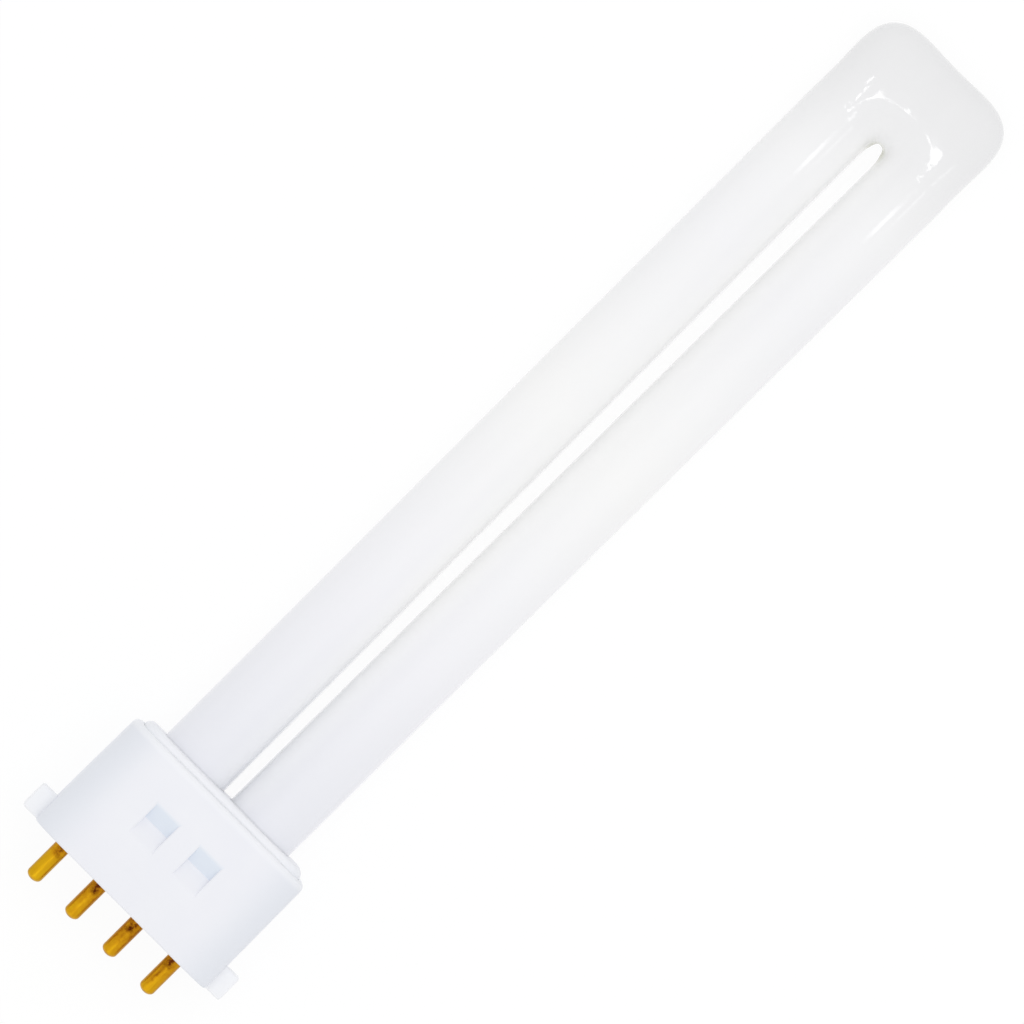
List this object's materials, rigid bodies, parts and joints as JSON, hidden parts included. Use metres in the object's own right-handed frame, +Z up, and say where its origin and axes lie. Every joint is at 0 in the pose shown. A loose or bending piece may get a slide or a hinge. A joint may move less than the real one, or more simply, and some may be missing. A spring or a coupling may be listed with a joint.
{
  "type": "compact fluorescent bulb",
  "caption": "Compact fluorescent bulb: a slim white glass tube bent to a U with a squared end, set in a flat white plug-in cap with side lugs, latch notches and a row of brass pins.",
  "frame": {"origin": "on the surface that the lamp lies on, under the middle of its box", "axes": "+X along the lamp from the pins to the bend of the glass, +Y across the row of pins, +Z up from the back of the lamp to its broad front"},
  "size_m": [0.162, 0.0364, 0.0194],
  "materials": {
    "coated_glass": "glossy glass, opaque with a white coating inside",
    "cap_plastic": "satin moulded",
    "pin_brass": "bright, a little tarnished",
    "cement": "matt",
    "lead_wire": "drawn wire"
  },
  "bodies": {
    "root": {"glass_tube": "coated_glass", "base_housing": "cap_plastic", "base_cover": "cap_plastic", "basing_cement": "cement", "contact_pin_1": "pin_brass", "lead_wire_1": "lead_wire", "contact_pin_2": "pin_brass", "lead_wire_2": "lead_wire", "contact_pin_3": "pin_brass", "lead_wire_3": "lead_wire", "contact_pin_4": "pin_brass", "lead_wire_4": "lead_wire"}
  },
  "joints": []
}
